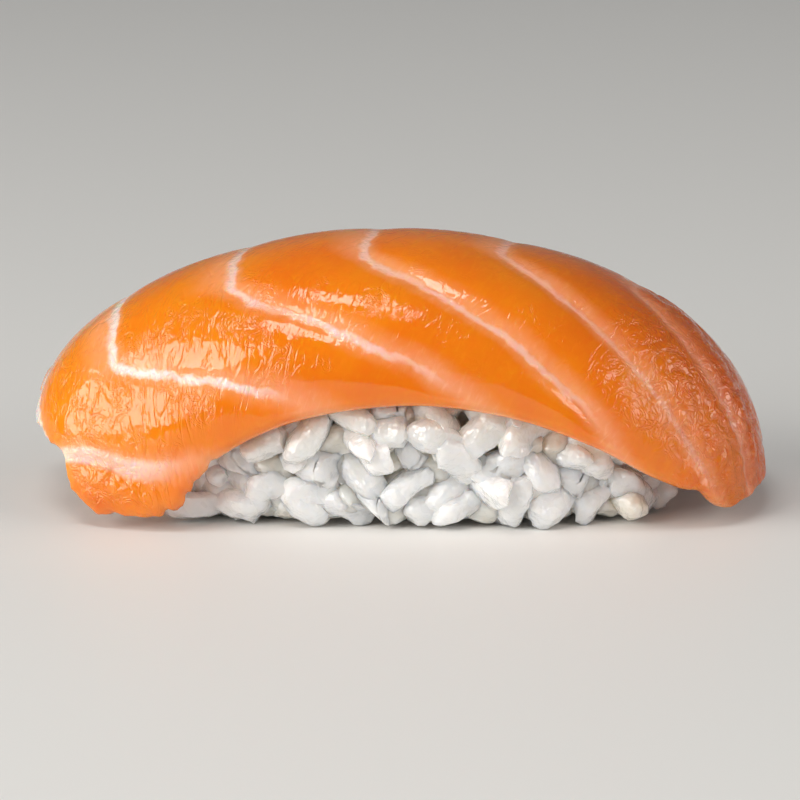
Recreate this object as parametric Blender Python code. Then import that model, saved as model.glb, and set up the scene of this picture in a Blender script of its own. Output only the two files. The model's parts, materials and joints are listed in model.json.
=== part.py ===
"""Salmon nigiri: a pressed bed of rice with a thick slice of raw salmon laid over it."""

import math
import random

import bmesh
import bpy
from mathutils import Matrix, Vector
from mathutils.bvhtree import BVHTree

MM = 0.001

# Crest of the slice: the line along the middle of its top, as two cubic curves
# that leave the highest point and come down at each end (x, z in millimetres).
CREST_TOP = (-1.0, 26.2)
CREST_LEFT = ((-14.0, 26.3), (-32.5, 20.3), (-35.0, 8.8))
CREST_RIGHT = ((14.0, 26.1), (35.4, 19.8), (34.9, 2.2))
CREST_SAMPLES = 200

# Edges of the slice at equal steps along the crest, in millimetres: how far the
# edge lies along the crest's direction, out from the crest, and below it.
FRONT_SHIFT = (6.6, 8.8, 5.7, 3.2, 1.0, 0.0, -1.0, -2.4, -3.6, -4.0, -5.4)
FRONT_REACH = (10.2, 12.6, 13.4, 14.0, 14.4, 14.5, 14.3, 13.9, 12.8, 11.0, 7.6)
FRONT_DROP = (8.6, 15.6, 14.8, 14.2, 13.9, 13.5, 13.6, 13.9, 13.6, 9.4, 1.3)
BACK_SHIFT = (-0.2, 1.2, 1.8, 1.2, 0.5, 0.0, -0.5, -1.5, -2.0, -2.0, -2.5)
BACK_REACH = (8.8, 11.4, 13.0, 14.0, 14.4, 14.4, 14.4, 14.0, 12.9, 11.0, 8.4)
BACK_DROP = (-1.4, 4.8, 9.4, 11.6, 12.4, 12.5, 12.4, 12.0, 10.6, 6.4, 0.4)
SECTION_POWER = 2.15

# Outline of the slice before it is laid down: 0 is a square corner, 1 an ellipse.
CORNER_LEFT = 0.17
CORNER_RIGHT = 0.36
RAGGED_STEP = 0.012
RAGGED_WAVES = 9.0
NOTCH_ALONG = 0.73
NOTCH_WIDTH = 0.035
NOTCH_DEPTH = 0.045

# Thickness of the slice and of its rim, and the rounding of the rim.
SLICE_THICKNESS = 5.4
RIM_THICKNESS = 2.2
RIM_ROUND = 0.8
RIM_FADE = 0.42
SLICE_COLUMNS = 42
SLICE_ROWS = 20

# Sheets of fat between the muscle blocks. Each crosses the slice from the back,
# turns at a knee and then runs along the slice to the front edge.
FAT_FIRST_KNEE = (11.7, -0.38)
FAT_SPACING = (13.2, 0.09)
FAT_RUN = 46.0
FAT_SOFTNESS = 0.22
FAT_BACK_LEAN = 5.0
BLOCK_BULGE = 0.45
BLOCK_SINK = 0.25
BACK_RELIEF = 0.35
CREASE_DEPTH = 0.30
CREASE_WIDTH = 0.10

# Rice bed: a loaf with a flat base. Plan half sizes, height and fullness.
BED_CENTRE = (1.9, 0.0)
BED_HALF_LENGTH = 21.8
BED_HALF_WIDTH = 9.9
BED_HEIGHT = 19.5
BED_FALL_RIGHT = 0.07
BED_FOOT = 0.92
BED_FOOT_HEIGHT = 5.0
BED_PLAN_POWER = 2.9
BED_RISE_POWER = 2.8
BED_SEGMENTS = 36
BED_RINGS = 10

# Grains of rice that show round the bed.
GRAIN_LENGTH = 6.1
GRAIN_WIDTH = 3.4
GRAIN_DEPTH = 2.9
GRAIN_SIDES = 6
GRAIN_SIZE_SPREAD = 0.12
GRAIN_SPACING = 4.7
ROW_HEIGHTS = (1.6, 4.2, 6.9, 9.6, 12.2, 14.6)
GRAIN_TILT = 55.0
GRAIN_PITCH = 22.0
GRAIN_PROUD = 0.45
GRAIN_SEED = 11
GAP_TO_SLICE = 0.45
GAP_TO_FLOOR = 0.12
TUCK_STEP = 0.45
TUCK_TRIES = 5
SHORTEST_EDGE = 0.02

# Surface colours (linear RGB) and roughness.
SALMON_COLOUR = (0.79, 0.19, 0.015, 1.0)
SALMON_ROUGHNESS = 0.28
RICE_COLOUR = (0.83, 0.83, 0.80, 1.0)
RICE_ROUGHNESS = 0.35


def clear_scene():
    """Remove every object already in the scene."""
    for old_object in list(bpy.data.objects):
        bpy.data.objects.remove(old_object, do_unlink=True)


def plain_material(name, colour, roughness):
    """A Principled material of one colour."""
    material = bpy.data.materials.new(name)
    material.use_nodes = True
    shader = material.node_tree.nodes["Principled BSDF"]
    shader.inputs["Base Color"].default_value = colour
    shader.inputs["Roughness"].default_value = roughness
    shader.inputs["Metallic"].default_value = 0.0
    return material


def object_from_bmesh(name, bm, collection):
    """Put a bmesh into a new object of this name."""
    mesh = bpy.data.meshes.new(name)
    bm.to_mesh(mesh)
    bm.free()
    new_object = bpy.data.objects.new(name, mesh)
    collection.objects.link(new_object)
    return new_object


def cubic_point(ends, t):
    """A point on a cubic curve given by its four points."""
    weights = ((1 - t) ** 3, 3 * t * (1 - t) ** 2, 3 * t * t * (1 - t), t ** 3)
    return Vector([sum(w * p[axis] for w, p in zip(weights, ends)) for axis in (0, 1)])


def crest_points():
    """Points along the crest from the left end to the right, with the length up to each."""
    steps = [i / CREST_SAMPLES for i in range(CREST_SAMPLES + 1)]
    left = [cubic_point((CREST_TOP,) + CREST_LEFT, t) for t in reversed(steps)]
    right = [cubic_point((CREST_TOP,) + CREST_RIGHT, t) for t in steps[1:]]
    points = left + right
    lengths = [0.0]
    for before, after in zip(points, points[1:]):
        lengths.append(lengths[-1] + (after - before).length)
    return points, lengths


CREST, CREST_LENGTHS = crest_points()
CREST_LENGTH = CREST_LENGTHS[-1]


def point_on_crest(along):
    """The crest's point (x, z) at this length from its left end."""
    low, high = 0, len(CREST) - 1
    while high - low > 1:
        middle = (low + high) // 2
        if CREST_LENGTHS[middle] > along:
            high = middle
        else:
            low = middle
    span = CREST_LENGTHS[high] - CREST_LENGTHS[low]
    share = (along - CREST_LENGTHS[low]) / span
    return CREST[low].lerp(CREST[high], share)


def smooth_between(values, s):
    """A smooth curve through values at equal steps of s from -1 to 1."""
    last = len(values) - 1
    place = min(max((s + 1) / 2 * last, 0.0), float(last))
    index = min(int(place), last - 1)
    t = place - index
    before = values[max(index - 1, 0)]
    start, end = values[index], values[index + 1]
    after = values[min(index + 2, last)]
    slope_start = (end - before) / (2 if index > 0 else 1)
    slope_end = (after - start) / (2 if index + 2 <= last else 1)
    return ((1 + 2 * t) * (1 - t) ** 2 * start + t * (1 - t) ** 2 * slope_start
            + t * t * (3 - 2 * t) * end + t * t * (t - 1) * slope_end)


def lay_over_bed(s, v):
    """Place a point of the flat slice (s along it, v across it) on the laid slice, in mm."""
    top = point_on_crest((s + 1) / 2 * CREST_LENGTH)
    if v < 0:
        shift, reach, drop = FRONT_SHIFT, FRONT_REACH, FRONT_DROP
    else:
        shift, reach, drop = BACK_SHIFT, BACK_REACH, BACK_DROP
    turn = abs(v) * math.pi / 2
    out = math.sin(turn) ** (2 / SECTION_POWER)
    down = 1 - math.cos(turn) ** (2 / SECTION_POWER)
    return Vector((
        top.x + smooth_between(shift, s) * down,
        math.copysign(smooth_between(reach, s) * out, v),
        top.y - smooth_between(drop, s) * down,
    ))


def slice_outline(p, q):
    """Round the corners of a square grid, roughen its left end and notch its front edge."""
    corner = CORNER_LEFT if p < 0 else CORNER_RIGHT
    s = p * math.sqrt(1 - corner * q * q / 2)
    v = q * math.sqrt(1 - corner * p * p / 2)
    near_left = max(0.0, (-s - 0.8) / 0.2) ** 2
    wave = math.sin(RAGGED_WAVES * v) + 0.6 * math.sin(2.3 * RAGGED_WAVES * v + 1.0)
    s += RAGGED_STEP * near_left * wave
    notch = math.exp(-((s - NOTCH_ALONG) / NOTCH_WIDTH) ** 2)
    near_front = max(0.0, (-v - 0.6) / 0.4) ** 2
    v += NOTCH_DEPTH * notch * near_front
    return max(-0.999, min(0.999, s)), max(-0.999, min(0.999, v))


def fat_phase(s, v):
    """Which muscle block a point is in: a whole number lies on a sheet of fat."""
    along = (s + 1) / 2 * CREST_LENGTH
    phase = (along - FAT_FIRST_KNEE[0]) / FAT_SPACING[0]
    for _ in range(4):
        forward = FAT_FIRST_KNEE[1] + FAT_SPACING[1] * phase - v
        if forward > 0:
            moved = FAT_RUN * forward ** 2 / (forward + FAT_SOFTNESS)
        else:
            moved = -FAT_BACK_LEAN * forward
        phase = (along - moved - FAT_FIRST_KNEE[0]) / FAT_SPACING[0]
    return phase


def muscle_relief(s, v):
    """Height of the swelling muscle blocks and of the creases between them, in mm."""
    phase = fat_phase(s, v)
    off_line = abs(phase - round(phase))
    bulge = BLOCK_BULGE * (1 - (1 - 2 * off_line) ** 2)
    crease = CREASE_DEPTH * math.exp(-(off_line / CREASE_WIDTH) ** 2)
    fade = BACK_RELIEF + (1 - BACK_RELIEF) * min(1.0, max(0.0, -v / 0.4))
    return (bulge - crease - BLOCK_SINK) * fade


def build_slice(collection):
    """The slice: a flat sheet laid over the bed, thickened, with a rounded rim."""
    bm = bmesh.new()
    bmesh.ops.create_grid(bm, x_segments=SLICE_COLUMNS, y_segments=SLICE_ROWS, size=1.0)
    step = 0.001
    fullness = []
    for vertex in bm.verts:
        p, q = vertex.co.x, vertex.co.y
        s, v = slice_outline(p, q)
        here = lay_over_bed(s, v)
        inward_s = -step if s > 0 else step
        inward_v = -step if v > 0 else step
        along = (lay_over_bed(s + inward_s, v) - here) * math.copysign(1, inward_s)
        across = (lay_over_bed(s, v + inward_v) - here) * math.copysign(1, inward_v)
        outward = along.cross(across).normalized()
        rim_distance = min(1 - abs(p), 1 - abs(q))
        fade = min(1.0, rim_distance / RIM_FADE)
        fullness.append(math.sin(fade * math.pi / 2))
        vertex.co = (here + outward * muscle_relief(s, v) * min(1.0, 4 * fade)) * MM
    salmon = object_from_bmesh("salmon_slice", bm, collection)

    thick = salmon.vertex_groups.new(name="thick")
    for index, weight in enumerate(fullness):
        thick.add([index], weight, "REPLACE")
    solidify = salmon.modifiers.new("thickness", "SOLIDIFY")
    solidify.thickness = SLICE_THICKNESS * MM
    solidify.offset = -1.0
    solidify.vertex_group = "thick"
    solidify.thickness_vertex_group = RIM_THICKNESS / SLICE_THICKNESS
    bevel = salmon.modifiers.new("rounded_rim", "BEVEL")
    bevel.limit_method = "ANGLE"
    bevel.angle_limit = math.radians(50)
    bevel.width = RIM_ROUND * MM
    bevel.segments = 2
    salmon.data.materials.append(plain_material("salmon_flesh", SALMON_COLOUR, SALMON_ROUGHNESS))
    salmon.data.shade_smooth()
    return salmon


def bed_fall(plan_x):
    """How far the bed's height is taken down towards its right end."""
    return 1 - BED_FALL_RIGHT * max(0.0, plan_x / BED_HALF_LENGTH)


def bed_radius(height):
    """How much of its plan size the bed has at this height (mm)."""
    share = min(1.0, max(0.0, height / BED_HEIGHT))
    return (1 - share ** BED_RISE_POWER) ** (1 / BED_RISE_POWER)


def signed_power(value, power):
    """A power that keeps the sign of its base."""
    return math.copysign(abs(value) ** power, value)


def bed_outline(angle):
    """A point of the bed's plan outline (mm), as a full oval."""
    return Vector((
        BED_HALF_LENGTH * signed_power(math.cos(angle), 2 / BED_PLAN_POWER),
        BED_HALF_WIDTH * signed_power(math.sin(angle), 2 / BED_PLAN_POWER),
        0.0,
    ))


def build_bed(collection):
    """The bare bed: the top half of a sphere, filled out to a loaf, with a flat base."""
    bm = bmesh.new()
    bmesh.ops.create_uvsphere(bm, u_segments=BED_SEGMENTS, v_segments=2 * BED_RINGS, radius=1.0)
    cut = bmesh.ops.bisect_plane(
        bm, geom=bm.verts[:] + bm.edges[:] + bm.faces[:], dist=1e-5,
        plane_co=(0, 0, 0), plane_no=(0, 0, 1), clear_inner=True)
    rim_edges = [item for item in cut["geom_cut"] if isinstance(item, bmesh.types.BMEdge)]
    bmesh.ops.edgeloop_fill(bm, edges=rim_edges)
    for vertex in bm.verts:
        rise = max(0.0, min(1.0, vertex.co.z))
        flat = math.sqrt(1 - rise * rise)
        plan = bed_outline(math.atan2(vertex.co.y, vertex.co.x)) * flat ** (2 / BED_RISE_POWER)
        height = BED_HEIGHT * rise ** (2 / BED_RISE_POWER) * bed_fall(plan.x)
        plan *= BED_FOOT + (1 - BED_FOOT) * min(1.0, height / BED_FOOT_HEIGHT)
        vertex.co = Vector((plan.x + BED_CENTRE[0], plan.y + BED_CENTRE[1], height)) * MM
    bmesh.ops.recalc_face_normals(bm, faces=bm.faces[:])
    rice = object_from_bmesh("rice_bed", bm, collection)
    rice.data.materials.append(plain_material("cooked_rice", RICE_COLOUR, RICE_ROUGHNESS))
    return rice


def grain_mesh():
    """One grain, blunt at both ends, lying along X, one unit long and wide."""
    bm = bmesh.new()
    bmesh.ops.create_uvsphere(bm, u_segments=GRAIN_SIDES, v_segments=4, radius=0.5)
    for vertex in bm.verts:
        if 0.1 < abs(vertex.co.z) < 0.45:
            vertex.co.x *= 1.16
            vertex.co.y *= 1.16
    bmesh.ops.rotate(bm, verts=bm.verts[:], cent=(0, 0, 0), matrix=Matrix.Rotation(math.pi / 2, 3, "Y"))
    mesh = bpy.data.meshes.new("grain")
    bm.to_mesh(mesh)
    bm.free()
    return mesh


def ring_places(height, offset):
    """Evenly spaced places round the bed at this height: point, direction along, direction out."""
    samples = 400
    ring = []
    for i in range(samples):
        point = bed_outline(2 * math.pi * i / samples) * bed_radius(height)
        ring.append(Vector((
            point.x + BED_CENTRE[0], point.y + BED_CENTRE[1], height * bed_fall(point.x))))
    lengths = [0.0]
    for i in range(samples):
        lengths.append(lengths[-1] + (ring[(i + 1) % samples] - ring[i]).length)
    count = round(lengths[-1] / GRAIN_SPACING)
    places = []
    index = 0
    for number in range(count):
        wanted = (number + offset) / count * lengths[-1]
        while lengths[index + 1] < wanted:
            index += 1
        start, end = ring[index % samples], ring[(index + 1) % samples]
        along = (end - start).normalized()
        share = (wanted - lengths[index]) / (end - start).length
        out = along.cross(Vector((0, 0, 1)))
        slope = (bed_radius(height + 0.5) - bed_radius(height)) / 0.5 * BED_HALF_WIDTH
        out = Vector((out.x, out.y, -slope)).normalized()
        places.append((start.lerp(end, share), along, out))
    return places


def grain_matrix(centre, along, out, tilt, pitch, size):
    """Stand a grain at a place, tilted in the bed's surface and pitched out of it."""
    length_axis = Matrix.Rotation(tilt, 3, out) @ along
    width_axis = out.cross(length_axis).normalized()
    length_axis = Matrix.Rotation(pitch, 3, width_axis) @ length_axis
    depth_axis = length_axis.cross(width_axis).normalized()
    turn = Matrix((length_axis, width_axis, depth_axis)).transposed().to_4x4()
    scale = Matrix.Diagonal((size[0], size[1], size[2], 1.0))
    return Matrix.Translation(centre) @ turn @ scale


def touches_slice(slice_tree, corners):
    """Whether any corner of a grain is in the slice or closer to it than the gap."""
    for corner in corners:
        nearest, outward, _, distance = slice_tree.find_nearest(corner * MM)
        inside = (corner * MM - nearest).dot(outward) < 0
        if inside or distance < GAP_TO_SLICE * MM:
            return True
    return False


def settled_matrix(slice_tree, mesh, place, tilt, pitch, size):
    """Tuck a grain in and down until it clears the slice, or give nothing if it never does."""
    centre, along, out = place
    for attempt in range(TUCK_TRIES):
        inward = out * (GRAIN_PROUD - attempt * TUCK_STEP)
        lowered = Vector((0, 0, -attempt * TUCK_STEP))
        matrix = grain_matrix(centre + inward + lowered, along, out, tilt, pitch, size)
        corners = [matrix @ vertex.co for vertex in mesh.vertices]
        lift = max(0.0, GAP_TO_FLOOR - min(corner.z for corner in corners))
        matrix = Matrix.Translation((0, 0, lift)) @ matrix
        corners = [corner + Vector((0, 0, lift)) for corner in corners]
        if not touches_slice(slice_tree, corners):
            return matrix
    return None


def scatter_grains(slice_tree, collection):
    """Grains in rows round the bed, each turned and sized by the seeded rule."""
    rule = random.Random(GRAIN_SEED)
    mesh = grain_mesh()
    for row, height in enumerate(ROW_HEIGHTS):
        for place in ring_places(height, 0.5 * (row % 2) + 0.1):
            point, along, out = place
            point = point + along * rule.uniform(-0.8, 0.8) + Vector((0, 0, rule.uniform(-0.7, 0.7)))
            tilt = math.radians(rule.uniform(-GRAIN_TILT, GRAIN_TILT))
            pitch = math.radians(rule.uniform(-GRAIN_PITCH, GRAIN_PITCH))
            size = [
                side * rule.uniform(1 - GRAIN_SIZE_SPREAD, 1 + GRAIN_SIZE_SPREAD)
                for side in (GRAIN_LENGTH, GRAIN_WIDTH, GRAIN_DEPTH)
            ]
            matrix = settled_matrix(slice_tree, mesh, (point, along, out), tilt, pitch, size)
            if matrix is None:
                continue
            grain = bpy.data.objects.new("grain", mesh.copy())
            grain.data.transform(Matrix.Scale(MM, 4) @ matrix)
            collection.objects.link(grain)
    bpy.data.meshes.remove(mesh)


def merge_short_edges(bm):
    """Close up the shortest edges, each only where its two faces are the only link."""
    bmesh.ops.triangulate(bm, faces=bm.faces[:])
    short = [edge for edge in bm.edges if edge.calc_length() < SHORTEST_EDGE * MM]
    for edge in short:
        if not edge.is_valid or edge.calc_length() >= SHORTEST_EDGE * MM:
            continue
        start, end = edge.verts
        beside_start = {other.other_vert(start) for other in start.link_edges}
        beside_end = {other.other_vert(end) for other in end.link_edges}
        if len(beside_start & beside_end) == 2:
            bmesh.ops.pointmerge(bm, verts=[start, end], merge_co=start.co)


def keep_outer_skin(rice):
    """Drop loose scraps and the skins of sealed hollows, and merge the shortest edges."""
    bm = bmesh.new()
    bm.from_mesh(rice.data)
    merge_short_edges(bm)
    unseen = set(bm.verts)
    shells = []
    while unseen:
        front = [unseen.pop()]
        shell = set(front)
        while front:
            for edge in front.pop().link_edges:
                for vertex in edge.verts:
                    if vertex in unseen:
                        unseen.remove(vertex)
                        shell.add(vertex)
                        front.append(vertex)
        shells.append(shell)
    shells.sort(key=len)
    for shell in shells[:-1]:
        bmesh.ops.delete(bm, geom=list(shell), context="VERTS")
    bmesh.ops.triangulate(bm, faces=bm.faces[:])
    bm.to_mesh(rice.data)
    bm.free()


def build_rice(salmon, collection):
    """The rice: the bare bed with the grains that show fused onto it."""
    rice = build_bed(collection)
    bpy.context.view_layer.update()
    settled_slice = salmon.evaluated_get(bpy.context.evaluated_depsgraph_get())
    slice_tree = BVHTree.FromObject(settled_slice, bpy.context.evaluated_depsgraph_get())
    grains = bpy.data.collections.new("grains")
    bpy.context.scene.collection.children.link(grains)
    scatter_grains(slice_tree, grains)

    union = rice.modifiers.new("fused_grains", "BOOLEAN")
    union.operation = "UNION"
    union.operand_type = "COLLECTION"
    union.collection = grains
    union.solver = "MANIFOLD"
    bpy.context.view_layer.update()
    fused = bpy.data.meshes.new_from_object(
        rice.evaluated_get(bpy.context.evaluated_depsgraph_get()))
    rice.modifiers.clear()
    rice.data = fused
    for grain in list(grains.objects):
        bpy.data.objects.remove(grain, do_unlink=True)
    bpy.data.collections.remove(grains)
    keep_outer_skin(rice)
    return rice


def build_nigiri():
    """Build both pieces in one collection."""
    clear_scene()
    collection = bpy.context.scene.collection
    salmon = build_slice(collection)
    build_rice(salmon, collection)


build_nigiri()
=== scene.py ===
import json
import math
import random

import bmesh
import bpy
import numpy as np
from mathutils import Matrix, Vector, noise
from mathutils.bvhtree import BVHTree

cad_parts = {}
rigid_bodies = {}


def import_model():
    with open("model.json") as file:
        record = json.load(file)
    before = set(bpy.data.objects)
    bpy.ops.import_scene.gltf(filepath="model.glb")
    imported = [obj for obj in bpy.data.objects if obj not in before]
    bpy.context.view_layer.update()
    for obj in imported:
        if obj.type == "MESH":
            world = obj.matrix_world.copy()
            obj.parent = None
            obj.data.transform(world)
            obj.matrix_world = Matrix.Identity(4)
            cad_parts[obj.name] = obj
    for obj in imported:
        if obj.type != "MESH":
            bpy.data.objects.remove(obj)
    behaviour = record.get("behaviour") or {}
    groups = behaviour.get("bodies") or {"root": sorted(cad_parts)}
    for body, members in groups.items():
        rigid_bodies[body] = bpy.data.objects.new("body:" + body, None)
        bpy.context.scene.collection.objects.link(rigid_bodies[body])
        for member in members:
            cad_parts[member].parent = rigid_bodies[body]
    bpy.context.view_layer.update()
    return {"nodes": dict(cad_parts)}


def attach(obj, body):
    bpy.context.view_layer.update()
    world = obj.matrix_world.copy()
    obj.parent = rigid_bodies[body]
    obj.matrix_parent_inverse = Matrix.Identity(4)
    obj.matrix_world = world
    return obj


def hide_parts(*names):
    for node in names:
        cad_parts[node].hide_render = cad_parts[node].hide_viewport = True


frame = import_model()

# The pressed bed inside the heap.
# A hand-squeezed loaf of cooked short-grain rice with a flat foot. Its own core is a
# domed loaf, and a first layer of grains is pressed half into it and fused to it.
MM = 0.001
BED_CENTRE_X = 1.9
BED_HALF_LENGTH = 21.8
BED_HALF_WIDTH = 9.9
BED_HEIGHT = 19.5
BED_FALL_RIGHT = 0.07
BED_FOOT = 0.92
BED_FOOT_HEIGHT = 5.0
BED_PLAN_POWER = 2.9
BED_RISE_POWER = 2.8
CORE_INSET = 0.7
CORE_LIFT = 1.2


def start_piece():
    """Leave nothing selected, so that a tool acts on the new piece alone."""
    bpy.ops.object.select_all(action="DESELECT")


def work_on(piece):
    """Select one piece and make it the active one."""
    start_piece()
    piece.select_set(True)
    bpy.context.view_layer.objects.active = piece


def pick_vertices(piece, wanted):
    """In edit mode, select the vertices whose place passes the test."""
    bm = bmesh.from_edit_mesh(piece.data)
    for vertex in bm.verts:
        vertex.select_set(wanted(vertex.co))
    bm.select_flush_mode()
    bmesh.update_edit_mesh(piece.data)


def bed_fall(plan_x):
    """How far the bed's height is taken down towards its right end."""
    return 1 - BED_FALL_RIGHT * max(0.0, plan_x / BED_HALF_LENGTH)


def bed_radius(height):
    """How much of its plan size the bed has at this height (mm)."""
    share = min(1.0, max(0.0, height / BED_HEIGHT))
    return (1 - share ** BED_RISE_POWER) ** (1 / BED_RISE_POWER)


def bed_outline(angle):
    """A point of the bed's plan outline (mm), as a full oval."""
    across = 2 / BED_PLAN_POWER
    return Vector((
        BED_HALF_LENGTH * math.copysign(abs(math.cos(angle)) ** across, math.cos(angle)),
        BED_HALF_WIDTH * math.copysign(abs(math.sin(angle)) ** across, math.sin(angle)),
        0.0,
    ))


def ring_places(height, offset, spacing):
    """Evenly spaced places round the bed at a height: point, direction along, direction out."""
    samples = 400
    ring = []
    for i in range(samples):
        point = bed_outline(2 * math.pi * i / samples) * bed_radius(height)
        ring.append(Vector((point.x + BED_CENTRE_X, point.y, height * bed_fall(point.x))))
    lengths = [0.0]
    for i in range(samples):
        lengths.append(lengths[-1] + (ring[(i + 1) % samples] - ring[i]).length)
    count = round(lengths[-1] / spacing)
    places = []
    index = 0
    for number in range(count):
        wanted = (number + offset) / count * lengths[-1]
        while lengths[index + 1] < wanted:
            index += 1
        start, end = ring[index % samples], ring[(index + 1) % samples]
        along = (end - start).normalized()
        share = (wanted - lengths[index]) / (end - start).length
        out = along.cross(Vector((0, 0, 1)))
        slope = (bed_radius(height + 0.5) - bed_radius(height)) / 0.5 * BED_HALF_WIDTH
        out = Vector((out.x, out.y, -slope)).normalized()
        places.append((start.lerp(end, share), along, out))
    return places


def grain_matrix(centre, along, out, tilt, pitch, size):
    """Stand a grain at a place, tilted in the bed's surface and pitched out of it."""
    length_axis = Matrix.Rotation(tilt, 3, out) @ along
    width_axis = out.cross(length_axis).normalized()
    length_axis = Matrix.Rotation(pitch, 3, width_axis) @ length_axis
    depth_axis = length_axis.cross(width_axis).normalized()
    turn = Matrix((length_axis, width_axis, depth_axis)).transposed().to_4x4()
    return Matrix.Translation(centre) @ turn @ Matrix.Diagonal((*size, 1.0))


GAP_TO_SLICE = 0.08
GAP_TO_FLOOR = 0.12
TUCK_STEP = 0.45
TUCK_TRIES = 5
slice_solid = frame["nodes"]["salmon_slice"].data
slice_tree = BVHTree.FromPolygons(
    [vertex.co.copy() for vertex in slice_solid.vertices],
    [tuple(face.vertices) for face in slice_solid.polygons])


def touches_slice(corners):
    """Whether any corner of a grain is in the slice or closer to it than the gap."""
    for corner in corners:
        nearest, outward, _, distance = slice_tree.find_nearest(corner * MM)
        if (corner * MM - nearest).dot(outward) < 0 or distance < GAP_TO_SLICE * MM:
            return True
    return False


def settled_matrix(mesh, place, tilt, pitch, size, proud):
    """Tuck a grain in and down until it clears the slice, or give nothing if it never does."""
    centre, along, out = place
    for attempt in range(TUCK_TRIES):
        inward = out * (proud - attempt * TUCK_STEP)
        lowered = Vector((0, 0, -attempt * TUCK_STEP))
        matrix = grain_matrix(centre + inward + lowered, along, out, tilt, pitch, size)
        corners = [matrix @ vertex.co for vertex in mesh.vertices]
        lift = max(0.0, GAP_TO_FLOOR - min(corner.z for corner in corners))
        if not touches_slice([corner + Vector((0, 0, lift)) for corner in corners]):
            return Matrix.Translation((0, 0, lift)) @ matrix
    return None


# The kinds of grain.
# Cooked short-grain rice: plump grains, slim ones that bend, short round ones, grains with
# the hollow of the lost germ, and broken ones. Each is modelled once, a unit long, along X.
GRAIN_SEGMENTS = 16
GRAIN_RINGS = 11


def grain_blank(name):
    """A round blank with blunt ends, lying along X."""
    start_piece()
    bpy.ops.mesh.primitive_uv_sphere_add(
        segments=GRAIN_SEGMENTS, ring_count=GRAIN_RINGS, radius=0.5, rotation=(0, math.pi / 2, 0))
    blank = bpy.context.object
    blank.name = name
    bpy.ops.object.transform_apply(location=False, rotation=True, scale=False)
    bpy.ops.object.mode_set(mode="EDIT")
    pick_vertices(blank, lambda co: 0.2 < abs(co.x) < 0.45)
    bpy.ops.transform.resize(value=(1, 1.17, 1.17), center_override=(0, 0, 0))
    return blank


def smooth_blank(factor):
    """Even out the pulls that were made on a blank and leave edit mode."""
    bpy.ops.mesh.select_all(action="SELECT")
    bpy.ops.mesh.vertices_smooth(factor=factor, repeat=1)
    bpy.ops.object.mode_set(mode="OBJECT")


def shape_plump(blank):
    """Thin one end a little."""
    pick_vertices(blank, lambda co: co.x > 0.3)
    bpy.ops.transform.resize(value=(1, 0.93, 0.90), center_override=(0.3, 0, 0))
    smooth_blank(0.3)


def shape_slim(blank):
    """Bend both ends down and draw one of them out."""
    pick_vertices(blank, lambda co: abs(co.x) > 0.28)
    bpy.ops.transform.translate(value=(0, 0, -0.13))
    pick_vertices(blank, lambda co: abs(co.x) > 0.42)
    bpy.ops.transform.translate(value=(0, 0, -0.10))
    pick_vertices(blank, lambda co: co.x < -0.3)
    bpy.ops.transform.resize(value=(1, 0.88, 0.88), center_override=(-0.3, 0, -0.1))
    smooth_blank(0.4)


def shape_stub(blank):
    """Draw the waist in, as in a short grain that has swollen at both ends."""
    pick_vertices(blank, lambda co: abs(co.x) < 0.12)
    bpy.ops.transform.resize(value=(1, 0.86, 0.9), center_override=(0, 0, 0))
    smooth_blank(0.5)


def shape_germ(blank):
    """Press the hollow where the germ was into one end."""
    pick_vertices(blank, lambda co: co.x > 0.25 and co.z > 0.1)
    bpy.ops.transform.translate(value=(-0.04, 0, -0.15))
    smooth_blank(0.25)


def shape_broken(blank):
    """Break one end off on the slant and round the edge of the break."""
    bpy.ops.mesh.select_all(action="SELECT")
    bpy.ops.mesh.bisect(plane_co=(0.2, 0, 0), plane_no=(0.9, 0.1, 0.4), use_fill=True, clear_outer=True)
    bpy.ops.mesh.bevel(offset=0.07, segments=2, affect="EDGES")
    bpy.ops.object.mode_set(mode="OBJECT")


grain_kinds = {}
for kind, shape in (
        ("plump", shape_plump), ("slim", shape_slim), ("stub", shape_stub),
        ("germ", shape_germ), ("broken", shape_broken)):
    blank = grain_blank("grain_" + kind)
    shape(blank)
    grain_kinds[kind] = blank.data
    bpy.data.objects.remove(blank, do_unlink=True)

PRESSED_FLATS = 6
PRESSED_SHARE = 0.85
PRESSED_DEPTH = (0.33, 0.45)
LUMP = 0.15
LUMP_SCALE = 1.9
DENT = 0.036
DENT_SCALE = 5.5
LUMP_SEED = 5
GRAIN_REST = 0.04
noise.seed_set(LUMP_SEED)


def pressed_copy(kind, matrix, rule, heap):
    """One grain of its own: pressed by its neighbours, a little uneven, and put in place."""
    mesh = grain_kinds[kind].copy()
    flats = []
    for _ in range(PRESSED_FLATS):
        angle = rule.uniform(0, 2 * math.pi)
        flats.append((
            Vector((rule.uniform(-0.5, 0.5), math.cos(angle), math.sin(angle))).normalized(),
            rule.uniform(*PRESSED_DEPTH),
        ))
    shift = Vector([rule.uniform(-50, 50) for _ in range(3)])
    for vertex in mesh.vertices:
        place = vertex.co.copy()
        for direction, depth in flats:
            beyond = place.dot(direction) - depth
            if beyond > 0:
                place -= direction * beyond * PRESSED_SHARE
        place += noise.noise_vector(place * LUMP_SCALE + shift) * LUMP
        place += noise.noise_vector(place * DENT_SCALE + shift) * DENT
        vertex.co = place
    mesh.transform(matrix)
    lowest = min(vertex.co.z for vertex in mesh.vertices)
    mesh.transform(Matrix.Scale(MM, 4) @ Matrix.Translation((0, 0, max(0.0, GRAIN_REST - lowest))))
    grain = bpy.data.objects.new("loose_grain", mesh)
    heap.objects.link(grain)


SOFT_EDGE = math.radians(48)


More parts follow.
